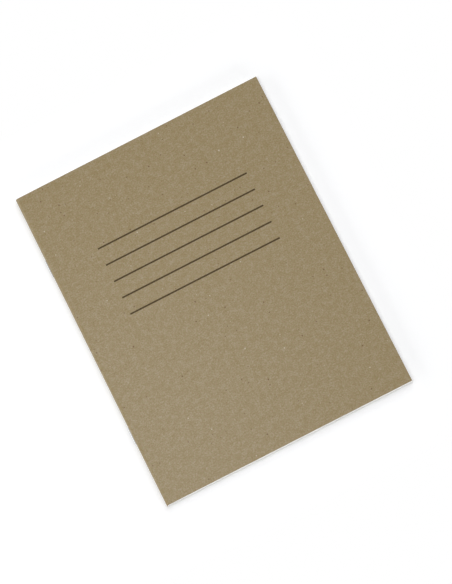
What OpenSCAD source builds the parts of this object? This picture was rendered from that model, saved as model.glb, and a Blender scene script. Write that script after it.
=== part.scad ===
// Stapled exercise book, closed and lying on its back cover.
// X runs from the fold to the fore-edge, Y from the tail to the head, Z from the back cover to the front.
// The origin is the middle of the underside.

/* [Book] */
// Width of the closed book, from the outside of the fold to the trimmed fore-edge
book_w = 178; // [140:1:230]
// Height of the book, from tail to head
book_h = 229; // [200:1:320]

/* [Pages] */
// Folded sheets nested inside the cover, two leaves to a sheet
sheet_count = 20; // [12:1:32]
// Thickness of one leaf of paper
leaf_t = 0.1; // [0.08:0.01:0.13]
// Distance from the wire in the centre fold to where the two halves of the block close on each other
centre_fold_reach = 7; // [4:0.5:14]

// Width of the fine line between two sheets at the trimmed edges
sheet_line_w = 0.03; // [0.02:0.01:0.04]
// Depth of that line
sheet_line_depth = 0.15; // [0.05:0.05:0.5]

/* [Cover] */
// Thickness of the cover card
card_t = 0.3; // [0.2:0.05:0.5]
// Air between the bend of the cover and the bend of the pages
fold_gap = 0.1; // [0.05:0.05:0.3]

/* [Staples] */
// Diameter of the staple wire
wire_d = 0.5; // [0.4:0.05:0.7]
// Width of the staple outside the fold, over both bends
crown_w = 13; // [10:0.5:16]
// Gap between the tips of the two clinched legs inside the centre fold
tip_gap = 2; // [1:0.5:5]
// Inside radius of the bends in the wire
bend_inside_r = 0.15; // [0.1:0.05:0.2]
// Depth to which the crown is pressed into the card
crown_dent = 0.1; // [0.05:0.05:0.15]
// Room round the wire in its holes and in its dent
wire_clear = 0.05; // [0.03:0.01:0.08]
// Distance from the head, or from the tail, to the middle of the nearer staple
staple_inset = 52; // [30:1:80]

/* [Title lines] */
// Number of lines printed on the front cover
title_count = 5; // [2:1:6]
// Length of a title line
title_len = 109.5; // [80:0.5:130]
// Thickness of a title line, as seen on the cover
title_w = 1.1; // [0.5:0.1:2]
// Distance from one title line to the next
title_pitch = 12.25; // [8:0.25:16]
// Distance from the head to the middle of the first title line
title_drop = 55.5; // [30:0.5:90]
// Height that the printed ink stands on the card, and the depth that it goes into the paper
ink_t = 0.03; // [0.02:0.01:0.05]

/* [Ruling] */
// Distance from one ruled line to the next
feint_pitch = 7; // [6:0.5:12]
// Thickness of a ruled line, as seen on the page
feint_w = 0.3; // [0.2:0.1:0.6]
// Distance from the head to the first ruled line
feint_head = 23; // [12:1:40]
// Bare paper kept below the last ruled line, at least
feint_tail = 10; // [4:1:30]
// Distance from the outside of the fold to the margin line
margin_in = 22; // [10:1:40]

/* [Hidden] */
$fn = 64;

kraft = [0.62, 0.56, 0.45];
paper = [0.94, 0.94, 0.92];
steel = [0.72, 0.72, 0.74];
title_ink = [0.29, 0.24, 0.18];
feint_ink = [0.60, 0.67, 0.64];

// The block of nested sheets: its outermost sheet bends on a radius of half the block
block_t = 2 * sheet_count * leaf_t;
page_bend_r = block_t / 2;
// The cover bends round the block and sets the thickness of the book
spine_r = page_bend_r + card_t;
book_t = 2 * spine_r;
mid_z = spine_r;
// A cover is flat from the end of the bend, and swings about its outer edge there
hinge_x = spine_r;
page_flat_x = card_t + fold_gap + page_bend_r;
leaf_run = book_w - page_flat_x;

wire_r = wire_d / 2;
bend_r = wire_r + bend_inside_r;
hole_r = wire_r + wire_clear;
crown_x = crown_dent - wire_r;
crown_proud = wire_d - crown_dent;
leg_y = crown_w / 2 - wire_r;
// The centre fold opens round the wire by the same room as the holes
clinch_x = page_flat_x + hole_r;

first_ink_z = book_t - card_t - ink_t;
feint_count = 1 + floor((book_h - feint_head - feint_tail) / feint_pitch);

// Overshoot of a cut past the face that it leaves
cut = 1;

// Places what is drawn from the outside of the fold so that the origin is the middle of the book
module placed() {
    translate([-(book_w - crown_proud) / 2, 0, 0]) children();
}

// Runs an outline, drawn in X and Z, from the tail to the head
module along_book() {
    translate([0, book_h / 2, 0]) rotate([90, 0, 0]) linear_extrude(book_h) children();
}

// Outline of a rounded bend: the half of a disc that faces the outside of the fold
module bend_outline(r) {
    intersection() {
        circle(r);
        translate([-2 * r, -2 * r]) square([2 * r, 4 * r]);
    }
}

// Outline of the gap inside a centre fold: round at the wire, closing to a line at its tip
module centre_fold_outline() {
    touch = acos(hole_r / centre_fold_reach);
    circle(hole_r);
    polygon([
        [hole_r * cos(touch), hole_r * sin(touch)],
        [centre_fold_reach, 0],
        [hole_r * cos(touch), -hole_r * sin(touch)]
    ]);
}

// The line between one sheet and the next, in X and Z: a bend of radius r and two straight runs
module sheet_line_outline(r) {
    outer_r = r + sheet_line_w / 2;
    inner_r = r - sheet_line_w / 2;
    difference() {
        bend_outline(outer_r);
        circle(inner_r);
    }
    for (z = [inner_r, -outer_r]) translate([0, z]) square([leaf_run + cut, sheet_line_w]);
}

// All the lines that show at the head and at the tail, the innermost sheet's own among them
module end_line_outlines() {
    for (i = [1 : sheet_count - 1]) sheet_line_outline(page_bend_r - i * leaf_t);
    translate([hole_r, -sheet_line_w / 2]) square([leaf_run + cut, sheet_line_w]);
}

// The lines between the sheets, cut into the head, the tail and the fore-edge
module sheet_lines() {
    cut_depth = sheet_line_depth + cut;
    for (end = [-1, 1])
        translate([page_flat_x, end * (book_h / 2 + cut - cut_depth / 2), mid_z])
            rotate([90, 0, 0]) linear_extrude(cut_depth, center = true) end_line_outlines();
    for (i = [1 : 2 * sheet_count - 1])
        translate([book_w - sheet_line_depth, -book_h / 2 - cut, card_t + i * leaf_t - sheet_line_w / 2])
            cube([cut_depth, book_h + 2 * cut, sheet_line_w]);
}

// One cover: the flat card from the end of the bend to the fore-edge
module cover_panel(z) {
    along_book() translate([hinge_x, z]) square([book_w - hinge_x, card_t]);
}

// The holes that one staple's legs make, out to the given depth from the outside of the fold
module leg_holes(depth) {
    for (side = [-1, 1])
        translate([-cut, side * leg_y, mid_z]) rotate([0, 90, 0]) cylinder(r = hole_r, h = depth + cut);
}

// The dent that one staple's crown presses into the card
module crown_groove() {
    length = crown_w + 2 * wire_clear;
    translate([crown_x, length / 2, mid_z]) rotate([90, 0, 0]) cylinder(r = hole_r, h = length);
}

// Repeats its children at both staples
module at_staples() {
    for (side = [-1, 1]) translate([0, side * (book_h / 2 - staple_inset), 0]) children();
}

// A quarter turn of wire, from its start angle on round its centre
module wire_bend(x, y, start) {
    translate([x, y, mid_z])
        rotate([0, 0, start]) rotate_extrude(angle = 90) translate([bend_r, 0]) circle(wire_r);
}

// Half of a staple, from the middle of its crown to the tip of its clinched leg
module half_staple() {
    bend_y = leg_y - bend_r;
    leg_start = crown_x + bend_r;
    leg_end = clinch_x - bend_r;
    translate([crown_x, bend_y, mid_z]) rotate([90, 0, 0]) cylinder(r = wire_r, h = bend_y);
    wire_bend(leg_start, bend_y, 90);
    translate([leg_start, leg_y, mid_z]) rotate([0, 90, 0]) cylinder(r = wire_r, h = leg_end - leg_start);
    wire_bend(leg_end, bend_y, 0);
    difference() {
        translate([clinch_x, bend_y, mid_z])
            rotate([90, 0, 0]) cylinder(r = wire_r, h = bend_y - tip_gap / 2);
        // the wire is sheared at a slant, which leaves a point on the side of the paper
        translate([clinch_x - wire_r, tip_gap / 2, mid_z]) rotate([0, 0, 45])
            translate([0, -wire_d, -wire_d]) cube([2 * wire_d, wire_d, 2 * wire_d]);
    }
}

module staple() {
    half_staple();
    mirror([0, 1, 0]) half_staple();
}

// The feint lines and the margin line of one page, upwards from z, and past the page's edges on request
module ruling(z, height, past = 0) {
    line_len = leaf_run + past;
    margin_len = book_h + 2 * past;
    for (i = [0 : feint_count - 1])
        translate([page_flat_x, book_h / 2 - feint_head - i * feint_pitch - feint_w / 2, z])
            cube([line_len, feint_w, height]);
    translate([margin_in - feint_w / 2, -margin_len / 2, z]) cube([feint_w, margin_len, height]);
}

// The hollows that the ink of both ruled pages fills, cut from outside the paper
module ink_hollows() {
    ruling(first_ink_z, ink_t + cut, cut);
    ruling(card_t - cut, ink_t + cut, cut);
}

module front_cover() {
    color(kraft) placed() cover_panel(book_t - card_t);
}

module back_cover() {
    color(kraft) placed() cover_panel(0);
}

// The strip of the cover that bends round the pages, dented and pierced by the staples
module cover_spine() {
    color(kraft) placed() difference() {
        along_book() translate([hinge_x, mid_z]) difference() {
            bend_outline(spine_r);
            circle(spine_r - card_t);
        }
        at_staples() crown_groove();
        at_staples() leg_holes(page_flat_x);
    }
}

// The nested sheets: flat leaves, a rounded fold, and the gap of the centre fold where the legs are clinched
module pages() {
    color(paper) placed() difference() {
        along_book() difference() {
            union() {
                translate([page_flat_x, mid_z]) bend_outline(page_bend_r);
                translate([page_flat_x, card_t]) square([leaf_run, block_t]);
            }
            translate([clinch_x, mid_z]) centre_fold_outline();
        }
        at_staples() leg_holes(clinch_x);
        ink_hollows();
        sheet_lines();
    }
}

module staple_upper() {
    color(steel) placed() translate([0, book_h / 2 - staple_inset, 0]) staple();
}

module staple_lower() {
    color(steel) placed() translate([0, staple_inset - book_h / 2, 0]) staple();
}

// The printed lines for a name and a subject, centred across the front cover
module title_lines() {
    first_y = book_h / 2 - title_drop - title_w / 2;
    color(title_ink) placed()
        for (i = [0 : title_count - 1])
            translate([(book_w - title_len) / 2, first_y - i * title_pitch, book_t])
                cube([title_len, title_w, ink_t]);
}

module first_page_ruling() {
    color(feint_ink) placed() ruling(first_ink_z, ink_t);
}

module last_page_ruling() {
    color(feint_ink) placed() ruling(card_t, ink_t);
}

front_cover();
back_cover();
cover_spine();
pages();
staple_upper();
staple_lower();
title_lines();
first_page_ruling();
last_page_ruling();
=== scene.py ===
# %% [markdown]
# # A stapled exercise book in kraft card
# The real book is one card folded round twenty folded sheets, with two wire staples through the fold.
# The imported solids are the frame: they say where each piece lies and what it moves with. Each step below
# first says what a piece is on the real book, how it could be made, and why it is made in this way.

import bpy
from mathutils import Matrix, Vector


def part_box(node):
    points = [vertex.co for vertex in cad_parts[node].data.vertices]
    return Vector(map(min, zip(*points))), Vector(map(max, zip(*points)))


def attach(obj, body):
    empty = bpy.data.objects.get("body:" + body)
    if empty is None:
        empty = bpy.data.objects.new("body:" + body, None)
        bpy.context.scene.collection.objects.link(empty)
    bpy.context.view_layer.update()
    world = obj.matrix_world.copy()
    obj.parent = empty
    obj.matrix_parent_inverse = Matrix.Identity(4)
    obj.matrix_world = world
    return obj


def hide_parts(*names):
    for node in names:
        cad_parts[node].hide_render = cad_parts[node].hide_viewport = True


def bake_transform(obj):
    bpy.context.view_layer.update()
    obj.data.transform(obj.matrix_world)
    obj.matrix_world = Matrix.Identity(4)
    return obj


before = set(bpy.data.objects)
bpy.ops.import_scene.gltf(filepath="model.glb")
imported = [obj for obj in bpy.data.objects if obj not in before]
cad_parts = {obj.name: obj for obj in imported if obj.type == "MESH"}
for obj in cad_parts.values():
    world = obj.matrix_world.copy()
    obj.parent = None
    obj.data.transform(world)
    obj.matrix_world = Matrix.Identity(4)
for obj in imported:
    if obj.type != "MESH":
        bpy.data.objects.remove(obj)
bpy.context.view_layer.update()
print("nodes:", sorted(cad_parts))

# %% Other modules and the unit
import math

import bmesh
import bpy
import numpy as np
from mathutils import Quaternion, Vector

MM = 0.001

# %% [markdown]
# ## Sizes of the book
# Nothing is measured twice: the corners of the solids give the fold, the hinges, the thickness of the card
# and the places of the wire. Only what a box can't say, such as the number of sheets, is written here.

# %% Read the sizes
front_low, front_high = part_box("front_cover")
spine_low, spine_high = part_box("cover_spine")
pages_low, pages_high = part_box("pages")

hinge_x, fore_edge_x = front_low.x, front_high.x
tail_y, head_y = front_low.y, front_high.y
card_thickness = front_high.z - front_low.z
middle_z = front_high.z / 2
fold_radius = hinge_x - spine_low.x
quarter_fold = math.pi / 2 * fold_radius
block_radius = (pages_high.z - pages_low.z) / 2
block_bend_x = pages_low.x + block_radius
SHEET_COUNT = 20
print("card %.2f mm, fold radius %.2f mm" % (card_thickness / MM, fold_radius / MM))

# %% Read the place of the margin line
# Only the margin line runs to the head, so the points there are its own.
HEAD_STRIP = 1 * MM
ruling_points = [vertex.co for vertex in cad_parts["first_page_ruling"].data.vertices]
margin_xs = [point.x for point in ruling_points if point.y > head_y - HEAD_STRIP]
margin_x = (min(margin_xs) + max(margin_xs)) / 2
margin_half = (max(margin_xs) - min(margin_xs)) / 2
print("margin line %.2f mm from the hinge" % ((margin_x - hinge_x) / MM))

# %% Read the places of the wire
STAPLES = ("staple_upper", "staple_lower")
staple_boxes = {name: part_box(name) for name in STAPLES}
wire_low, wire_high = staple_boxes["staple_upper"]
wire_radius = (wire_high.z - wire_low.z) / 2
crown_x = wire_low.x + wire_radius
clinch_x = wire_high.x - wire_radius
leg_offset = (wire_high.y - wire_low.y) / 2 - wire_radius
staple_ys = {name: (low.y + high.y) / 2 for name, (low, high) in staple_boxes.items()}
print("wire %.2f mm, legs %.2f mm from the middle" % (2 * wire_radius / MM, leg_offset / MM))

# %% [markdown]
# ## Small helpers for node trees
# Shaders and Geometry Nodes are both trees of nodes. One helper adds a node and fills its inputs, with a
# number or with a link, and a second one adds a sum or a product. Long trees then read from top to bottom.

# %% Helpers for nodes
def fill(tree, socket, value):
    """Links a socket to another one, or sets its value."""
    if isinstance(value, bpy.types.NodeSocket):
        tree.links.new(value, socket)
    else:
        socket.default_value = value


def add_node(tree, kind, inputs=None, **settings):
    """Adds one node with its settings and its inputs, by name or by number."""
    made = tree.nodes.new(kind)
    for name, value in settings.items():
        setattr(made, name, value)
    for key, value in (inputs or {}).items():
        fill(tree, made.inputs[key], value)
    return made


def calculate(tree, operation, *values, clamp=False):
    """Adds one calculation and gives its result."""
    made = add_node(tree, "ShaderNodeMath", dict(enumerate(values)), operation=operation, use_clamp=clamp)
    return made.outputs[0]


def calculate_place(tree, operation, *values, output="Vector"):
    """The same for places and directions, with three numbers each."""
    made = add_node(tree, "ShaderNodeVectorMath", dict(enumerate(values)), operation=operation)
    return made.outputs[output]


def blend_between(tree, low, high, value, start=0.0, end=1.0, smooth=False):
    """Takes a value from one range to another, and holds it there at both ends."""
    inputs = {"Value": value, "From Min": low, "From Max": high, "To Min": start, "To Max": end}
    kind = "SMOOTHSTEP" if smooth else "LINEAR"
    return add_node(tree, "ShaderNodeMapRange", inputs, interpolation_type=kind).outputs["Result"]


# %% Helpers for colours
def linear(red, green, blue):
    """A colour as read on a screen, from 0 to 255, as the linear one that Blender works in."""
    def decode(value):
        share = value / 255
        return share / 12.92 if share <= 0.04045 else ((share + 0.055) / 1.055) ** 2.4
    return (decode(red), decode(green), decode(blue), 1.0)


def mix_colours(tree, factor, first, second, mode="MIX"):
    """Mixes two colours, each one a link or a plain colour."""
    mixer = add_node(tree, "ShaderNodeMix", data_type="RGBA", blend_type=mode)
    fill(tree, mixer.inputs["Factor"], factor)
    for socket, value in zip([s for s in mixer.inputs if s.type == "RGBA"], (first, second)):
        fill(tree, socket, value)
    return next(s for s in mixer.outputs if s.type == "RGBA")


def new_material(name, roughness, metallic=0.0):
    """A material with its shader, whose plain numbers are set on the shader's own sockets."""
    material = bpy.data.materials.new(name)
    material.use_nodes = True
    shader = material.node_tree.nodes["Principled BSDF"]
    shader.inputs["Roughness"].default_value = roughness
    shader.inputs["Metallic"].default_value = metallic
    return material, material.node_tree, shader


def texture(tree, kind, place, scale, output, **settings):
    """A texture read at a place. Numbers with a capital are inputs, and the others are settings."""
    inputs = {"Vector": place, "Scale": scale}
    inputs.update({k.replace("_", " "): v for k, v in settings.items() if k[0].isupper()})
    plain = {k: v for k, v in settings.items() if not k[0].isupper()}
    return add_node(tree, "ShaderNodeTex" + kind, inputs, **plain).outputs[output]


print("half way on the screen is %.3f of white light" % linear(128, 128, 128)[0])


# %% [markdown]
# ## Kraft card
# Kraft card is pressed from brown fibres that lie in all directions. From a step away it is one colour with
# a fine mottle. Close by, pale and dark fibres, small dark specks and a felt-like surface show. An image
# could paint that, but a procedural material has any size of detail and no edges.
# The card was made flat and folded later, so the pattern has to follow the sheet round the fold and has to
# stay on a cover that opens. It therefore reads an attribute with the place on the flat card, and not the
# place in space.

# %% Layers of the card
CARD_PLACE = "flat_card"
KRAFT_GREEN = linear(134, 125, 78)
KRAFT_RED = linear(147, 120, 89)
KRAFT_DARK = linear(122, 101, 44)
KRAFT_PALE = linear(168, 156, 133)
SPECK_DARK = linear(92, 54, 10)
SPECK_PALE = linear(222, 216, 200)
CLOUD_SIZE = 4.5 * MM
TINT_SIZE = 0.9 * MM
GRAIN_SIZE = 1.05 * MM
CLOUD_SHARE = 0.4
# The turn of each kind of fibre in degrees, and its length and width in millimetres
FIBRES = ((8, 2.6, 0.13), (-24, 2.1, 0.11), (77, 2.4, 0.12))
DARK_FIBRE_TURN = 31
SMALLEST_SPECK = 0.4
SPECK_WOBBLE = 0.9
SPECK_RIM = 0.3
print("clouds %.1f mm, grain %.2f mm, %d kinds of fibre" % (CLOUD_SIZE / MM, GRAIN_SIZE / MM, len(FIBRES)))


# %% Fibres and specks
def fibres(tree, place, angle, length, width, low, high):
    """Thin streaks in one direction: noise that is stretched until it looks like fibres."""
    turn = (0, 0, math.radians(angle))
    scale = (1 / length, 1 / width, 1 / width)
    inputs = {"Vector": place, "Rotation": turn, "Scale": scale}
    stretched = add_node(tree, "ShaderNodeMapping", inputs, vector_type="POINT").outputs["Vector"]
    noise = texture(tree, "Noise", stretched, 1.0, "Fac", Detail=2.0, Roughness=0.5, Distortion=0.6)
    return blend_between(tree, low, high, noise)


def specks(tree, place, cell, size, share, seed):
    """Sparse small specks: a few cells of a random pattern get a dot of uneven size near their middle."""
    moved = calculate_place(tree, "ADD", place, (seed, seed, seed))
    bent = texture(tree, "Noise", moved, 1.6 / size, "Color", Detail=1.0)
    scaling = {0: bent, "Scale": SPECK_WOBBLE * size}
    wobble = add_node(tree, "ShaderNodeVectorMath", scaling, operation="SCALE").outputs[0]
    ragged = calculate_place(tree, "ADD", moved, wobble)
    cells = add_node(tree, "ShaderNodeTexVoronoi", {"Vector": ragged, "Scale": 1 / cell, "Randomness": 1.0})
    chance = add_node(tree, "ShaderNodeSeparateColor", {"Color": cells.outputs["Color"]}).outputs
    chosen = calculate(tree, "GREATER_THAN", chance["Red"], 1 - share)
    largest = size / cell
    uneven = blend_between(tree, 0, 1, chance["Green"], SMALLEST_SPECK * largest, largest)
    reach = calculate(tree, "MULTIPLY", chosen, uneven)
    near = calculate(tree, "SUBTRACT", reach, cells.outputs["Distance"])
    return blend_between(tree, 0.0, SPECK_RIM * largest, near)


# %% Make the kraft card
def make_kraft():
    material, tree, shader = new_material("kraft_card", 0.4)
    place = add_node(tree, "ShaderNodeAttribute", attribute_name=CARD_PLACE).outputs["Vector"]

    clouds = texture(tree, "Noise", place, 1 / CLOUD_SIZE, "Fac", Detail=4.0, Roughness=0.75)
    tint = texture(tree, "Noise", place, 1 / TINT_SIZE, "Fac", Detail=2.0, Roughness=0.7)
    grain = texture(tree, "Noise", place, 1 / GRAIN_SIZE, "Fac", Detail=3.0, Roughness=0.7)

    colour = mix_colours(tree, blend_between(tree, 0.3, 0.7, tint), KRAFT_GREEN, KRAFT_RED)
    fine_part = calculate(tree, "MULTIPLY", grain, 1 - CLOUD_SHARE)
    mottle = calculate(tree, "MULTIPLY_ADD", clouds, CLOUD_SHARE, fine_part)
    colour = mix_colours(tree, blend_between(tree, 0.5, 0.275, mottle), colour, KRAFT_DARK)
    colour = mix_colours(tree, blend_between(tree, 0.5, 0.74, mottle), colour, KRAFT_PALE)

    felt = None
    for angle, length, width in FIBRES:
        pale = fibres(tree, place, angle, length * MM, width * MM, 0.60, 0.72)
        dark = fibres(tree, place, angle + DARK_FIBRE_TURN, length * MM, width * MM, 0.62, 0.74)
        colour = mix_colours(tree, calculate(tree, "MULTIPLY", pale, 0.4), colour, KRAFT_PALE)
        colour = mix_colours(tree, calculate(tree, "MULTIPLY", dark, 0.45), colour, KRAFT_DARK)
        felt = pale if felt is None else calculate(tree, "MAXIMUM", felt, pale)

    dark_specks = specks(tree, place, 4 * MM, 0.6 * MM, 0.5, 0.31)
    pale_specks = specks(tree, place, 6 * MM, 0.55 * MM, 0.45, 0.77)
    colour = mix_colours(tree, calculate(tree, "MULTIPLY", dark_specks, 0.85), colour, SPECK_DARK)
    colour = mix_colours(tree, calculate(tree, "MULTIPLY", pale_specks, 0.55), colour, SPECK_PALE)
    fill(tree, shader.inputs["Base Color"], colour)

    surface = calculate(tree, "MULTIPLY_ADD", felt, 0.5, grain)
    bump = add_node(tree, "ShaderNodeBump", {"Strength": 0.35, "Distance": 0.02 * MM, "Height": surface})
    fill(tree, shader.inputs["Normal"], bump.outputs["Normal"])
    return material


kraft = make_kraft()
print("kraft card:", len(kraft.node_tree.nodes), "nodes")

# %% [markdown]
# ## White writing paper
# The leaves are thin uncoated paper: nearly white, matt, with a faint cloudy look where its fibres lie more
# densely. The sheets differ a little in tone, which is what makes a trimmed edge look like many leaves.

# %% Make the paper
SHEET_NUMBER = "sheet"
PAPER = linear(245, 245, 244)
PAPER_SHADE = linear(234, 234, 232)


def make_paper():
    material, tree, shader = new_material("white_paper", 0.8)
    place = add_node(tree, "ShaderNodeTexCoord").outputs["Object"]
    clouds = texture(tree, "Noise", place, 1 / (3.5 * MM), "Fac", Detail=4.0, Roughness=0.65)
    tooth = texture(tree, "Noise", place, 1 / (0.12 * MM), "Fac", Detail=2.0)
    number = add_node(tree, "ShaderNodeAttribute", attribute_name=SHEET_NUMBER).outputs["Fac"]
    tone = add_node(tree, "ShaderNodeTexWhiteNoise", {"W": number}, noise_dimensions="1D").outputs["Value"]
    shade = calculate(tree, "MULTIPLY_ADD", tone, 0.6, blend_between(tree, 0.35, 0.75, clouds, 0.0, 0.4))
    fill(tree, shader.inputs["Base Color"], mix_colours(tree, shade, PAPER, PAPER_SHADE))
    bump = add_node(tree, "ShaderNodeBump", {"Strength": 0.2, "Distance": 0.01 * MM, "Height": tooth})
    fill(tree, shader.inputs["Normal"], bump.outputs["Normal"])
    return material


paper = make_paper()
print("paper:", len(paper.node_tree.nodes), "nodes")

# %% [markdown]
# ## Printing ink
# Ink on uncoated card sinks in between the fibres, so a printed line is a little uneven in depth and lets
# some of the ground through. The same recipe serves the dark title lines and the grey ruling of the pages.
# The margin line is one solid with the ruled lines but is printed darker, so its place picks the darker ink.

# %% Make the inks
def make_ink(name, ink, ground, cover, margin_ink=None):
    """Ink that hides most of the ground below it, less so where the fibres stand up."""
    material, tree, shader = new_material(name, 0.7)
    shader.inputs["Specular IOR Level"].default_value = 0.35
    place = add_node(tree, "ShaderNodeTexCoord").outputs["Object"]
    patchy = texture(tree, "Noise", place, 1 / (0.35 * MM), "Fac", Detail=3.0, Roughness=0.65)
    thin = blend_between(tree, 0.55, 0.8, patchy, 1 - cover, 1.0)
    if margin_ink:
        across = add_node(tree, "ShaderNodeSeparateXYZ", {0: place}).outputs["X"]
        away = calculate(tree, "ABSOLUTE", calculate(tree, "SUBTRACT", across, margin_x))
        on_margin = calculate(tree, "LESS_THAN", away, margin_half + 0.01 * MM)
        ink = mix_colours(tree, on_margin, ink, margin_ink)
    fill(tree, shader.inputs["Base Color"], mix_colours(tree, thin, ink, ground))
    bump = add_node(tree, "ShaderNodeBump", {"Strength": 0.2, "Distance": 0.01 * MM, "Height": patchy})
    fill(tree, shader.inputs["Normal"], bump.outputs["Normal"])
    return material


title_ink = make_ink("title_ink", linear(58, 42, 16), KRAFT_DARK, 0.97)
feint_ink = make_ink("feint_ink", linear(138, 143, 138), PAPER, 0.9, margin_ink=linear(84, 86, 82))
print("inks:", title_ink.name, feint_ink.name)

# %% [markdown]
# ## Staple wire
# The wire is galvanised steel, drawn through a die: a bright grey metal with fine lines along its length and
# a slightly cloudy coat of zinc. Metal shows what is around it, so its roughness matters more than its
# colour.

# %% Make the wire's finish
def make_wire():
    material, tree, shader = new_material("staple_wire", 0.34, metallic=1.0)
    place = add_node(tree, "ShaderNodeTexCoord").outputs["Object"]
    zinc = texture(tree, "Noise", place, 1 / (0.5 * MM), "Fac", Detail=3.0)
    drawn = fibres(tree, place, 90, 3 * MM, 0.05 * MM, 0.35, 0.7)
    colour = mix_colours(tree, zinc, linear(190, 191, 194), linear(160, 161, 165))
    fill(tree, shader.inputs["Base Color"], colour)
    fill(tree, shader.inputs["Roughness"], calculate(tree, "MULTIPLY_ADD", drawn, 0.12, 0.26))
    bump = add_node(tree, "ShaderNodeBump", {"Strength": 0.25, "Distance": 0.01 * MM, "Height": drawn})
    fill(tree, shader.inputs["Normal"], bump.outputs["Normal"])
    return material


wire_finish = make_wire()
print("wire finish:", len(wire_finish.node_tree.nodes), "nodes")

# %% [markdown]
# ## Finishing a mesh
# Every piece ends in the same way: it is shaded smooth with its real corners kept sharp, it gets a material,
# and the solids that it replaces are hidden. One helper does this, so no piece misses a step.

# %% Helpers for pieces
SHARP_ANGLE = math.radians(35)


def new_piece(name, mesh):
    """An object at the origin, with its place in its mesh."""
    piece = bpy.data.objects.new(name, mesh)
    bpy.context.scene.collection.objects.link(piece)
    return piece


def dress(piece, material, slot, *nodes):
    """Shades a piece, gives it its finish and hides the solids that it replaces."""
    mesh = piece.data
    mesh.shade_smooth()
    mesh.set_sharp_from_angle(angle=SHARP_ANGLE)
    mesh.materials.clear()
    mesh.materials.append(material)
    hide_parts(*nodes)
    mesh.calc_loop_triangles()
    print(piece.name + ":", len(mesh.loop_triangles), "triangles")


def evaluated_mesh(holder):
    """The plain mesh that an object's modifiers make, as a new mesh of its own."""
    graph = bpy.context.evaluated_depsgraph_get()
    return bpy.data.meshes.new_from_object(holder.evaluated_get(graph))


# %% [markdown]
# ## The folded card
# The cover is one card. It bends round the pages and each side of it opens at a crease beside the fold. A
# flat plate for each cover would tear away from the fold as it opens. So the card is made in two halves that
# meet in the middle of the fold, each one a continuous sheet from there to the fore-edge. A function gives
# the place of any point of the flat card once it is folded, and the mesh is a grid over that function, fine
# where the card bends and coarse where it is flat.

# %% Values of the card
BEND_STEPS = 24
CREASE_WIDTH = 0.4 * MM
CREASE_STEPS = 10
PANEL_STEP = 9 * MM
DENT_STEP = 0.4 * MM
DENT_FADE = 1.2 * MM
DENT_HALF_WIDTH = 0.35 * MM
DENT_ROOM = 0.01 * MM
INNER_DENT_LOSS = 0.25
EDGE_ROUNDING = 0.03 * MM
EDGE_HOLD = 0.15 * MM
dent_depth = crown_x + wire_radius - spine_low.x + DENT_ROOM
print("each staple dents the card by %.2f mm" % (dent_depth / MM))


def spaced(start, end, step):
    """Even places from start to end, about one step apart."""
    return np.linspace(start, end, max(2, 1 + round(abs(end - start) / step)))


def card_lengths():
    """Places along the card, from the middle of the fold to the fore-edge. The last two are close together,
    which keeps the flat card evenly shaded right up to its rounded edge."""
    crease_end = quarter_fold + CREASE_WIDTH
    card_end = quarter_fold + fore_edge_x - hinge_x
    parts = [
        np.linspace(0, quarter_fold, BEND_STEPS + 1),
        np.linspace(quarter_fold, crease_end, CREASE_STEPS + 1),
        spaced(crease_end, card_end, PANEL_STEP),
        [card_end - EDGE_HOLD],
    ]
    return np.unique(np.concatenate(parts).round(7))


def card_heights():
    """Places from the tail to the head, closer together where the staples dent the card."""
    dent_reach = leg_offset + wire_radius + DENT_FADE
    parts = [spaced(tail_y, head_y, PANEL_STEP)]
    for y in staple_ys.values():
        parts[0] = parts[0][abs(parts[0] - y) > dent_reach + DENT_STEP]
        parts.append(spaced(y - dent_reach, y + dent_reach, DENT_STEP))
    parts.append([tail_y + EDGE_HOLD, head_y - EDGE_HOLD])
    return np.unique(np.concatenate(parts).round(7))


# %% Fold the card by a formula
def dent_at(y, rise):
    """How far the crown of the nearer staple presses the card in, at a height and a rise from the wire."""
    along = min(abs(y - middle) for middle in staple_ys.values())
    end = min(max((along - leg_offset) / DENT_FADE, 0), 1)
    return dent_depth * (1 - end * end * (3 - 2 * end)) * math.exp(-((rise / DENT_HALF_WIDTH) ** 2))


def folded(length, y, depth, side):
    """The place in space of a point of the flat card. Side is 1 for the front and -1 for the back."""
    radius = fold_radius - depth
    if length >= quarter_fold:
        return Vector((hinge_x + length - quarter_fold, y, middle_z + side * radius))
    angle = length / fold_radius
    rise = radius * math.sin(angle)
    pressed = dent_at(y, rise) * (1 - INNER_DENT_LOSS * depth / card_thickness)
    return Vector((hinge_x - radius * math.cos(angle) + pressed, y, middle_z + side * rise))


def unfolded(place):
    """The reverse: where a point in space was on the flat card."""
    side = 1 if place.z > middle_z else -1
    rise = abs(place.z - middle_z)
    if place.x >= hinge_x:
        return (side * (quarter_fold + place.x - hinge_x), place.y, fold_radius - rise)
    angle = math.atan2(rise, hinge_x - place.x)
    return (side * angle * fold_radius, place.y, fold_radius - math.hypot(rise, hinge_x - place.x))


half_fold = folded(quarter_fold / 2, 0, 0, 1)
there_and_back = unfolded(half_fold)[0] / MM
print("%.3f mm from the middle, folded and unfolded: %.3f mm" % (quarter_fold / 2 / MM, there_and_back))


# %% Build one half of the card
SAME_PLACE = 1e-7
CORNER_ANGLE = 1.0


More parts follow.
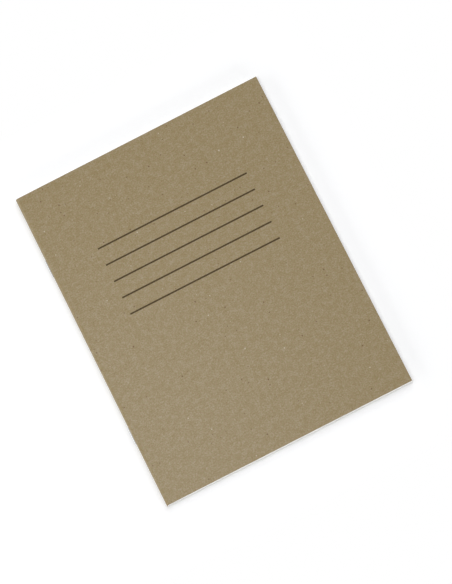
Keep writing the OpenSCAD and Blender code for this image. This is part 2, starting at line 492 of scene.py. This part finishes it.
def card_half_mesh(name, side):
    """A closed sheet: an outer and an inner grid, joined by a rim, with softened trimmed edges."""
    lengths, heights = card_lengths(), card_heights()
    shape = bmesh.new()
    layers = [
        [[shape.verts.new(folded(length, y, depth, side)) for y in heights] for length in lengths]
        for depth in (0, card_thickness)
    ]
    rows, columns = len(lengths), len(heights)
    for grid in layers:
        for i in range(rows - 1):
            for j in range(columns - 1):
                shape.faces.new((grid[i][j], grid[i + 1][j], grid[i + 1][j + 1], grid[i][j + 1]))
    outer, inner = layers
    rim = [(i, 0) for i in range(rows)] + [(rows - 1, j) for j in range(1, columns)]
    rim += [(i, columns - 1) for i in range(rows - 2, -1, -1)] + [(0, j) for j in range(columns - 2, 0, -1)]
    for (a, b), (c, d) in zip(rim, rim[1:] + rim[:1]):
        shape.faces.new((outer[a][b], outer[c][d], inner[c][d], inner[a][b]))
    bmesh.ops.recalc_face_normals(shape, faces=shape.faces)
    soften_trimmed_edges(shape)
    mesh = bpy.data.meshes.new(name)
    shape.to_mesh(mesh)
    shape.free()
    return mesh


def both_at(first, second, place):
    """Whether two points lie at one place, as far as the numbers can tell."""
    return max(abs(first - place), abs(second - place)) < SAME_PLACE


def soften_trimmed_edges(shape):
    """Rounds the long corners that the guillotine leaves at the head, the tail and the fore-edge. The place
    where the two halves meet stays square, so that it doesn't show."""
    def trimmed(edge):
        a, b = (v.co for v in edge.verts)
        at_meeting = both_at(a.z, b.z, middle_z)
        at_end = both_at(a.y, b.y, tail_y) or both_at(a.y, b.y, head_y)
        at_front = both_at(a.x, b.x, fore_edge_x)
        sharp = len(edge.link_faces) == 2 and edge.calc_face_angle() > CORNER_ANGLE
        return sharp and not at_meeting and (at_end or at_front)
    edges = [edge for edge in shape.edges if trimmed(edge)]
    bmesh.ops.bevel(shape, geom=edges, offset=EDGE_ROUNDING, segments=2, profile=0.5, affect="EDGES")


print("grid of %d by %d points on each side" % (len(card_lengths()), len(card_heights())))


# %% Pierce the card for the staple legs
HOLE_RADIUS = wire_radius + 0.05 * MM
HOLE_SIDES = 20
CUTTER_LENGTH = 4 * MM


def leg_cutter():
    """Rods along X through all four places where a leg goes through the fold."""
    shape = bmesh.new()
    turn = math.pi / HOLE_SIDES
    sizes = {"radius1": HOLE_RADIUS, "radius2": HOLE_RADIUS, "depth": CUTTER_LENGTH}
    for middle in staple_ys.values():
        for offset in (-leg_offset, leg_offset):
            rod = bmesh.ops.create_cone(shape, cap_ends=True, segments=HOLE_SIDES, **sizes)
            for vertex in rod["verts"]:
                x, y, z = vertex.co
                around = (x * math.cos(turn) - y * math.sin(turn), x * math.sin(turn) + y * math.cos(turn))
                vertex.co = Vector((spine_low.x + z, middle + offset + around[0], middle_z + around[1]))
    bmesh.ops.recalc_face_normals(shape, faces=shape.faces)
    mesh = bpy.data.meshes.new("leg_cutter")
    shape.to_mesh(mesh)
    shape.free()
    return new_piece("leg_cutter", mesh)


def pierce(piece, cutter):
    """Cuts the holes and keeps the result as a plain mesh."""
    knife = piece.modifiers.new("holes", "BOOLEAN")
    knife.operation, knife.solver, knife.object = "DIFFERENCE", "EXACT", cutter
    pierced = evaluated_mesh(piece)
    piece.modifiers.clear()
    piece.data = pierced


def remember_flat_place(mesh):
    """Stores the place on the flat card, which the kraft pattern reads."""
    attribute = mesh.attributes.new(CARD_PLACE, "FLOAT_VECTOR", "POINT")
    attribute.data.foreach_set("vector", [value for v in mesh.vertices for value in unfolded(v.co)])


print("holes of %.2f mm for wire of %.2f mm" % (2 * HOLE_RADIUS / MM, 2 * wire_radius / MM))


# %% Make both halves
cutter = leg_cutter()
card_front = new_piece("card_front_half", card_half_mesh("card_front_half", 1))
card_back = new_piece("card_back_half", card_half_mesh("card_back_half", -1))
for half in (card_front, card_back):
    pierce(half, cutter)
    remember_flat_place(half.data)
bpy.data.objects.remove(cutter)

dress(card_front, kraft, "kraft_card", "front_cover", "cover_spine")
dress(card_back, kraft, "kraft_card", "back_cover", "cover_spine")
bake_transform(card_front)
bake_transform(card_back)

# %% [markdown]
# ## The nested sheets
# Twenty sheets are folded into each other, so at the head and the tail each shows as a thin U inside the last
# one. They all follow one rule, which suits Geometry Nodes: one flat slab is repeated, each copy is given its
# number, and a formula folds every copy round the ones inside it. The staple wire lies in the innermost fold,
# so the formula also spreads the sheets near it and closes them again a few millimetres further on.

# %% Helpers for Geometry Nodes
def new_tree(name, inputs):
    """A geometry tree with named inputs, given as name: (kind, value), after its geometry."""
    tree = bpy.data.node_groups.new(name, "GeometryNodeTree")
    tree.interface.new_socket("Geometry", in_out="INPUT", socket_type="NodeSocketGeometry")
    tree.interface.new_socket("Geometry", in_out="OUTPUT", socket_type="NodeSocketGeometry")
    for label, (kind, value) in inputs.items():
        socket = tree.interface.new_socket(label, in_out="INPUT", socket_type="NodeSocket" + kind)
        if value is not None:
            socket.default_value = value
    return tree, tree.nodes.new("NodeGroupInput").outputs


def end_tree(tree, geometry, material):
    """Turns what is left of instances into real mesh, gives it its material and ends the tree."""
    real = add_node(tree, "GeometryNodeRealizeInstances", {"Geometry": geometry}).outputs["Geometry"]
    inputs = {"Geometry": real, "Material": material}
    painted = add_node(tree, "GeometryNodeSetMaterial", inputs).outputs["Geometry"]
    add_node(tree, "NodeGroupOutput", {"Geometry": painted})


def grow(name, tree, values, start=None):
    """Runs a tree on an object and returns a new piece with the plain mesh that it makes."""
    holder = new_piece(name + "_holder", start or bpy.data.meshes.new(name))
    modifier = holder.modifiers.new("nodes", "NODES")
    modifier.node_group = tree
    for item in tree.interface.items_tree:
        if item.in_out == "INPUT" and item.name in values:
            modifier[item.identifier] = values[item.name]
    mesh = evaluated_mesh(holder)
    holder.modifiers.clear()
    bpy.data.objects.remove(holder)
    return new_piece(name, mesh)


# %% Helpers for points and what they remember
def own_place(tree):
    """The place of each point, as separate X, Y and Z."""
    place = add_node(tree, "GeometryNodeInputPosition").outputs[0]
    return add_node(tree, "ShaderNodeSeparateXYZ", {0: place}).outputs


def joined(tree, **parts):
    """A place or a direction from its X, Y and Z."""
    return add_node(tree, "ShaderNodeCombineXYZ", parts).outputs[0]


def remember(tree, geometry, name, value, domain="POINT"):
    """Stores a number under a name, on each point or on each copy."""
    inputs = {"Geometry": geometry, "Name": name, "Value": value}
    settings = {"data_type": "FLOAT", "domain": domain}
    return add_node(tree, "GeometryNodeStoreNamedAttribute", inputs, **settings).outputs["Geometry"]


def recall(tree, name):
    """Reads the number that was stored under a name."""
    made = add_node(tree, "GeometryNodeInputNamedAttribute", {"Name": name}, data_type="FLOAT")
    return made.outputs["Attribute"]


def shift(tree, geometry, **where):
    """Moves the points: Position says where to, and Offset says by how much."""
    return add_node(tree, "GeometryNodeSetPosition", {"Geometry": geometry, **where}).outputs["Geometry"]


# %% Stack one flat slab for each sheet
RUN_STEPS = 12
FOLD_STEPS = 18
SLAB_POINTS = 2 * RUN_STEPS + FOLD_STEPS + 1
print("%d sheets of %d points across" % (SHEET_COUNT, SLAB_POINTS))


def numbered_slabs(tree, count):
    """One slab of length 2, height 1 and thickness 1 for each sheet, with the number of the sheet."""
    slab_inputs = {"Size": (2, 1, 1), "Vertices X": SLAB_POINTS, "Vertices Y": 5, "Vertices Z": 2}
    slab = add_node(tree, "GeometryNodeMeshCube", slab_inputs).outputs["Mesh"]
    line_inputs = {"Count": count, "Offset": (0, 0, 0)}
    points = add_node(tree, "GeometryNodeMeshLine", line_inputs).outputs["Mesh"]
    copies = add_node(tree, "GeometryNodeInstanceOnPoints", {"Points": points, "Instance": slab}).outputs[0]
    order = add_node(tree, "GeometryNodeInputIndex").outputs[0]
    numbered = remember(tree, copies, SHEET_NUMBER, order, domain="INSTANCE")
    return add_node(tree, "GeometryNodeRealizeInstances", {"Geometry": numbered}).outputs["Geometry"]


def trim_slip(tree, given, number, draw):
    """How much a sheet falls short of the longest one, since no stack is trimmed quite evenly."""
    seed = calculate(tree, "ADD", given["Seed"], draw)
    inputs = {"Min": 0.0, "Max": given["Trim slip"], "ID": number, "Seed": seed}
    return add_node(tree, "FunctionNodeRandomValue", inputs, data_type="FLOAT").outputs["Value"]


# %% The tree that folds the sheets
LEAF_SHARE = 0.87
WIRE_REACH = 7 * MM
TRIM_SLIP = 0.05 * MM
SHEET_SEED = 4
RUN_CROWDING = 2.4


def leaf_radius(tree, given, number, through, run):
    """The distance of a point from the middle of the block, spread near the fold by the room for the wire."""
    half_way = calculate(tree, "ADD", number, 0.5)
    inset = calculate(tree, "SUBTRACT", half_way, calculate(tree, "MULTIPLY", through, given["Leaf share"]))
    depth = calculate(tree, "MULTIPLY", inset, given["Leaf pitch"])
    radius = calculate(tree, "SUBTRACT", given["Block radius"], depth)
    room = blend_between(tree, 0.0, given["Wire reach"], run, given["Wire room"], 0.0, smooth=True)
    left_over = calculate(tree, "SUBTRACT", given["Block radius"], room)
    spread = calculate(tree, "DIVIDE", left_over, given["Block radius"])
    return calculate(tree, "MULTIPLY_ADD", radius, spread, room)


def sheet_tree():
    tree, given = new_tree("nested_sheets", {
        "Sheets": ("Int", SHEET_COUNT),
        "Leaf pitch": ("Float", 0.1 * MM),
        "Leaf share": ("Float", LEAF_SHARE),
        "Block radius": ("Float", 2 * MM),
        "Bend X": ("Float", 0.0),
        "Middle Z": ("Float", 2 * MM),
        "Run": ("Float", 170 * MM),
        "Height": ("Float", 229 * MM),
        "Wire room": ("Float", 0.3 * MM),
        "Wire reach": ("Float", WIRE_REACH),
        "Trim slip": ("Float", TRIM_SLIP),
        "Seed": ("Int", SHEET_SEED),
        "Paper": ("Material", None),
    })
    slabs = numbered_slabs(tree, given["Sheets"])
    number = recall(tree, SHEET_NUMBER)
    along, height, through = own_place(tree)

    # How far round the fold, or along the flat run, each point lies
    fold_share = FOLD_STEPS / (2 * RUN_STEPS + FOLD_STEPS)
    run_share = blend_between(tree, fold_share, 1.0, calculate(tree, "ABSOLUTE", along))
    full_run = calculate(tree, "SUBTRACT", given["Run"], trim_slip(tree, given, number, 0))
    run = calculate(tree, "MULTIPLY", calculate(tree, "POWER", run_share, RUN_CROWDING), full_run)
    angle = blend_between(tree, -fold_share, fold_share, along, -math.pi / 2, math.pi / 2)
    radius = leaf_radius(tree, given, number, through, run)

    out_x = calculate(tree, "MULTIPLY", radius, calculate(tree, "COSINE", angle))
    x = calculate(tree, "SUBTRACT", calculate(tree, "ADD", given["Bend X"], run), out_x)
    z = calculate(tree, "MULTIPLY_ADD", radius, calculate(tree, "SINE", angle), given["Middle Z"])
    full_height = calculate(tree, "SUBTRACT", given["Height"], trim_slip(tree, given, number, 1))
    y = calculate(tree, "MULTIPLY", height, full_height)
    nested = shift(tree, slabs, Position=joined(tree, X=x, Y=y, Z=z))
    end_tree(tree, nested, given["Paper"])
    return tree


# %% Make the sheets
sheet_rule = sheet_tree()
sheets = grow("nested_sheets", sheet_rule, {
    "Sheets": SHEET_COUNT,
    "Leaf pitch": block_radius / SHEET_COUNT,
    "Leaf share": LEAF_SHARE,
    "Block radius": block_radius,
    "Bend X": block_bend_x,
    "Middle Z": middle_z,
    "Run": pages_high.x - block_bend_x,
    "Height": pages_high.y - pages_low.y,
    "Wire room": HOLE_RADIUS,
    "Wire reach": WIRE_REACH,
    "Trim slip": TRIM_SLIP,
    "Seed": SHEET_SEED,
    "Paper": paper,
})
dress(sheets, paper, "paper", "pages")
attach(sheets, "book_block")
print("made by a tree of", len(sheet_rule.nodes), "nodes")

# %% [markdown]
# ## The wire staples
# A stitching machine cuts a length of wire, bends it into a U, drives it through the fold and clinches the
# legs flat inside. So a staple is a path with rounded corners and a round section, which Geometry Nodes make
# from the path: fillet its corners, sweep a circle along it, and shear both tips at a slant.

# %% The tree that makes wire
TIP_START = 0.4999


def wire_tree():
    tree, given = new_tree("staple_wire", {
        "Wire radius": ("Float", 0.25 * MM),
        "Bend radius": ("Float", 0.4 * MM),
        "Bend steps": ("Int", 8),
        "Sides": ("Int", 20),
        "Clinch X": ("Float", 0.0),
        "Finish": ("Material", None),
    })
    fillet = {"Curve": given["Geometry"], "Count": given["Bend steps"], "Radius": given["Bend radius"]}
    rounded = add_node(tree, "GeometryNodeFilletCurve", fillet, mode="POLY").outputs["Curve"]
    parameter = add_node(tree, "GeometryNodeSplineParameter").outputs["Factor"]
    marked = remember(tree, rounded, "along", parameter)
    section = {"Resolution": given["Sides"], "Radius": given["Wire radius"]}
    ring = add_node(tree, "GeometryNodeCurvePrimitiveCircle", section).outputs["Curve"]
    sweep = {"Curve": marked, "Profile Curve": ring, "Fill Caps": True}
    swept = add_node(tree, "GeometryNodeCurveToMesh", sweep).outputs["Mesh"]

    # A tip is sheared at 45 degrees: its side away from the fold is drawn back
    from_middle = calculate(tree, "ABSOLUTE", calculate(tree, "SUBTRACT", recall(tree, "along"), 0.5))
    is_tip = calculate(tree, "GREATER_THAN", from_middle, TIP_START)
    x, y, _ = own_place(tree)
    back = calculate(tree, "ADD", calculate(tree, "SUBTRACT", x, given["Clinch X"]), given["Wire radius"])
    slant = calculate(tree, "MULTIPLY", calculate(tree, "SIGN", y), calculate(tree, "MULTIPLY", back, is_tip))
    cut = shift(tree, swept, Offset=joined(tree, Y=slant))
    end_tree(tree, cut, given["Finish"])
    return tree


# %% Make both staples
TIP_GAP = 2 * MM
BEND_INSIDE = 0.15 * MM


def staple_path():
    """The middle line of the wire: a clinched leg, through the fold, the crown, and back in the same way."""
    corners = [(clinch_x, TIP_GAP / 2), (clinch_x, leg_offset), (crown_x, leg_offset)]
    corners += [(x, -y) for x, y in reversed(corners)]
    curve = bpy.data.curves.new("staple_path", "CURVE")
    curve.dimensions = "3D"
    spline = curve.splines.new("POLY")
    spline.points.add(len(corners) - 1)
    for point, (x, y) in zip(spline.points, corners):
        point.co = (x, y, middle_z, 1)
    return curve


wire = wire_tree()
wire_values = {
    "Wire radius": wire_radius,
    "Bend radius": wire_radius + BEND_INSIDE,
    "Clinch X": clinch_x,
    "Finish": wire_finish,
}
for name in STAPLES:
    staple = grow("wire_" + name, wire, wire_values, staple_path())
    for vertex in staple.data.vertices:
        vertex.co.y += staple_ys[name]
    dress(staple, wire_finish, "staple_wire", name)
    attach(staple, "book_block")

# %% [markdown]
# ## The printed title lines
# Five lines for a name and a subject are printed on the front. Printed lines are never quite even: ink runs
# a little way along the fibres. Each line is a thin film of ink with many short steps along its length, and
# noise moves its two long edges in and out by a few hundredths of a millimetre.

# %% The tree that prints lines
INK_RUN_SIZE = 0.7 * MM
EDGE_GAIN = 4.0


def line_tree():
    tree, given = new_tree("printed_lines", {
        "Lines": ("Int", 5),
        "Pitch": ("Float", 12 * MM),
        "Length": ("Float", 100 * MM),
        "Width": ("Float", 0.9 * MM),
        "Film": ("Float", 0.02 * MM),
        "Steps": ("Int", 300),
        "Spread": ("Float", 0.05 * MM),
        "First line": ("Vector", (0, 0, 0)),
        "Ink": ("Material", None),
    })
    down = joined(tree, Y=calculate(tree, "MULTIPLY", given["Pitch"], -1))
    line_inputs = {"Count": given["Lines"], "Start Location": given["First line"], "Offset": down}
    points = add_node(tree, "GeometryNodeMeshLine", line_inputs).outputs["Mesh"]
    size = joined(tree, X=given["Length"], Y=given["Width"], Z=given["Film"])
    film_inputs = {"Size": size, "Vertices X": given["Steps"], "Vertices Y": 4, "Vertices Z": 2}
    film = add_node(tree, "GeometryNodeMeshCube", film_inputs).outputs["Mesh"]
    across = calculate(tree, "DIVIDE", own_place(tree)["Y"], given["Width"])
    marked = remember(tree, film, "across", across)
    copies = add_node(tree, "GeometryNodeInstanceOnPoints", {"Points": points, "Instance": marked}).outputs[0]
    real = add_node(tree, "GeometryNodeRealizeInstances", {"Geometry": copies}).outputs["Geometry"]

    # The noise of each place pushes the two long edges apart or together
    place = add_node(tree, "GeometryNodeInputPosition").outputs[0]
    uneven = texture(tree, "Noise", place, 1 / INK_RUN_SIZE, "Fac", Detail=3.0, Roughness=0.6)
    swing = calculate(tree, "MULTIPLY", calculate(tree, "SUBTRACT", uneven, 0.5), given["Spread"])
    push = calculate(tree, "MULTIPLY", swing, calculate(tree, "MULTIPLY", recall(tree, "across"), EDGE_GAIN))
    frayed = shift(tree, real, Offset=joined(tree, Y=push))
    end_tree(tree, frayed, given["Ink"])
    return tree


# %% Print the title lines
LINE_COUNT = 5
LINE_WIDTH = 1.1 * MM
LINE_STEPS = 300
EDGE_SPREAD = 0.05 * MM
INK_FILM = 0.02 * MM
INK_SUNK = 0.005 * MM
lines_low, lines_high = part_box("title_lines")
line_pitch = (lines_high.y - lines_low.y - LINE_WIDTH) / (LINE_COUNT - 1)
line_x = (lines_low.x + lines_high.x) / 2
line_y = lines_high.y - LINE_WIDTH / 2
line_z = lines_low.z - INK_SUNK + INK_FILM / 2
title_lines = grow("printed_title_lines", line_tree(), {
    "Lines": LINE_COUNT,
    "Pitch": line_pitch,
    "Length": lines_high.x - lines_low.x,
    "Width": LINE_WIDTH,
    "Film": INK_FILM,
    "Steps": LINE_STEPS,
    "Spread": EDGE_SPREAD,
    "First line": (line_x, line_y, line_z),
    "Ink": title_ink,
})
dress(title_lines, title_ink, "title_ink", "title_lines")
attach(title_lines, "front_cover_swing")
print("lines %.2f mm apart" % (line_pitch / MM))

# %% [markdown]
# ## The ruled pages
# The first and the last page are ruled with pale lines and a margin line. Their solids already have the right
# shape, flush with the paper, so they stay and only get the finish of the ink.

# %% Ink the ruling
for name in ("first_page_ruling", "last_page_ruling"):
    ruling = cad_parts[name]
    ruling.data.materials.clear()
    ruling.data.materials.append(feint_ink)
    print(name, "inked")

# %% [markdown]
# ## Floor and background
# A product picture stands on a seamless pale ground that only keeps the soft shadow. Pouring light on it
# would wash out the book. Instead the floor is a matt surface in the same light as the book, lifted to white
# for the camera only. It is a very little blue, which offsets the brown light that the card throws on it. It
# turns fully white outside the room that the open book takes, so no edge of it shows.

# %% Make the floor
FLOOR_SIZE = 8.0
FLOOR_DROP = 0.35 * MM
FLOOR_COLOUR = (0.895, 0.9, 0.91, 1)
FLOOR_LIFT = 0.224
FADE_START, FADE_END = 8 * MM, 45 * MM
book_width = fore_edge_x - hinge_x
OPEN_BOOK_HALF = (book_width, head_y, 1.0)
OPEN_BOOK_MIDDLE = (hinge_x, 0.0, 0.0)


def seen_directly(tree):
    """1 for rays from the camera, from glossy reflections and through glass, and 0 for all others."""
    path = add_node(tree, "ShaderNodeLightPath").outputs
    mirrored = calculate(tree, "ADD", path["Is Glossy Ray"], path["Is Transmission Ray"])
    return calculate(tree, "ADD", path["Is Camera Ray"], mirrored, clamp=True)


def outside_open_book(tree):
    """How far a point lies outside the room that the closed and the open book take on the table."""
    place = add_node(tree, "ShaderNodeTexCoord").outputs["Object"]
    from_middle = calculate_place(tree, "SUBTRACT", place, OPEN_BOOK_MIDDLE)
    aside = calculate_place(tree, "ABSOLUTE", from_middle)
    past_edge = calculate_place(tree, "SUBTRACT", aside, OPEN_BOOK_HALF)
    outside = calculate_place(tree, "MAXIMUM", past_edge, (0, 0, 0))
    return calculate_place(tree, "LENGTH", outside, output="Value")


def make_floor():
    mesh = bpy.data.meshes.new("floor")
    reach = FLOOR_SIZE / 2
    corners = [(-reach, -reach), (reach, -reach), (reach, reach), (-reach, reach)]
    mesh.from_pydata([(x, y, -FLOOR_DROP) for x, y in corners], [], [(0, 1, 2, 3)])
    ground = new_piece("floor", mesh)

    material = bpy.data.materials.new("pale_floor")
    material.use_nodes = True
    tree = material.node_tree
    tree.nodes.clear()
    matt = add_node(tree, "ShaderNodeBsdfDiffuse", {"Color": FLOOR_COLOUR}).outputs[0]
    seen = seen_directly(tree)
    strength = calculate(tree, "MULTIPLY", seen, FLOOR_LIFT)
    lift = add_node(tree, "ShaderNodeEmission", {"Strength": strength}).outputs[0]
    near = add_node(tree, "ShaderNodeAddShader", {0: matt, 1: lift}).outputs[0]
    white = add_node(tree, "ShaderNodeEmission", {"Strength": seen}).outputs[0]
    far = blend_between(tree, FADE_START, FADE_END, outside_open_book(tree), smooth=True)
    whole = add_node(tree, "ShaderNodeMixShader", {0: far, 1: near, 2: white}).outputs[0]
    add_node(tree, "ShaderNodeOutputMaterial", {"Surface": whole})
    mesh.materials.append(material)
    return ground


floor = make_floor()
print("floor %.1f m wide, %.2f mm below the book" % (FLOOR_SIZE, FLOOR_DROP / MM))

# %% [markdown]
# ## Light
# Much of the light comes evenly from all sides, as in a white room. A large lamp beyond the head puts a soft
# shadow along the tail and the fold. A small panel hangs where the card mirrors it to the camera: its broad
# gloss makes the fold's side paler. Two low lamps keep the rounded fold and the white page edges bright,
# since a low lamp reaches upright faces more than flat ones. Each lamp's power is worked out from its share
# of the light on the book, and the shares add up to about one, so a colour renders about as it is written.

# %% Place the lamps
AMBIENT = 0.291
LAMPS = {
    # name: (place in metres, width and height in metres, share of the light)
    "beyond_head": ((0.95, 1.5, 1.6), (1.8, 1.8), 0.285),
    "gloss_panel": ((-0.123, 0.020, 0.568), (0.262, 0.262), 0.212),
    "low_fold": ((-1.5, 0.2, 0.38), (3.2, 0.8), 0.157),
    "low_tail": ((0.0, -1.5, 0.31), (2.6, 0.6), 0.142),
}


def add_lamp(name, place, size, share):
    """A lamp aimed at the book, with the power that gives its share of the light at the book's middle."""
    lamp = bpy.data.lights.new(name, "AREA")
    lamp.shape = "RECTANGLE"
    lamp.size, lamp.size_y = size
    where = Vector(place)
    tilt = where.normalized().z
    lamp.energy = share * math.pi ** 2 * where.length_squared / tilt
    holder = bpy.data.objects.new(name, lamp)
    holder.location = where
    holder.rotation_mode = "QUATERNION"
    holder.rotation_quaternion = where.to_track_quat("Z", "Y")
    bpy.context.scene.collection.objects.link(holder)
    print("%s lamp: %.1f W" % (name, lamp.energy))


for name, (place, size, share) in LAMPS.items():
    add_lamp(name, place, size, share)

# %% Light the world
world = bpy.data.worlds.new("studio")
bpy.context.scene.world = world
world.use_nodes = True
sky = world.node_tree
sky.nodes.clear()
level = blend_between(sky, 0.0, 1.0, seen_directly(sky), AMBIENT, 1.0)
background = add_node(sky, "ShaderNodeBackground", {"Color": (1, 1, 1, 1), "Strength": level}).outputs[0]
add_node(sky, "ShaderNodeOutputWorld", {"Surface": background})
print("ambient light:", AMBIENT)

# %% [markdown]
# ## Camera
# The picture was taken from almost straight above the tail, far away and turned, so that the book's sides
# hardly converge. The four corners of the cover give the camera's direction, turn, distance and lens.

# %% Place the camera
LENS = 269.3
AZIMUTH, ELEVATION, ROLL = 5.34, 76.47, -32.28
AIM = Vector((7.67, -6.01, 4.6)) * MM
DISTANCE = 2845 * MM


def place_camera():
    azimuth, elevation = math.radians(AZIMUTH), math.radians(ELEVATION)
    flat = math.cos(elevation)
    back = Vector((math.sin(azimuth) * flat, -math.cos(azimuth) * flat, math.sin(elevation)))
    data = bpy.data.cameras.new("camera")
    data.lens, data.sensor_width = LENS, 36
    data.clip_start, data.clip_end = 0.1, 20
    camera = bpy.data.objects.new("camera", data)
    camera.location = AIM + back * DISTANCE
    camera.rotation_mode = "QUATERNION"
    level = (-back).to_track_quat("-Z", "Y")
    camera.rotation_quaternion = Quaternion(back, math.radians(ROLL)) @ level
    bpy.context.scene.collection.objects.link(camera)
    bpy.context.scene.camera = camera
    return camera


camera = place_camera()
bpy.context.scene.view_settings.view_transform = "Standard"
print("camera at", [round(value, 4) for value in camera.location])
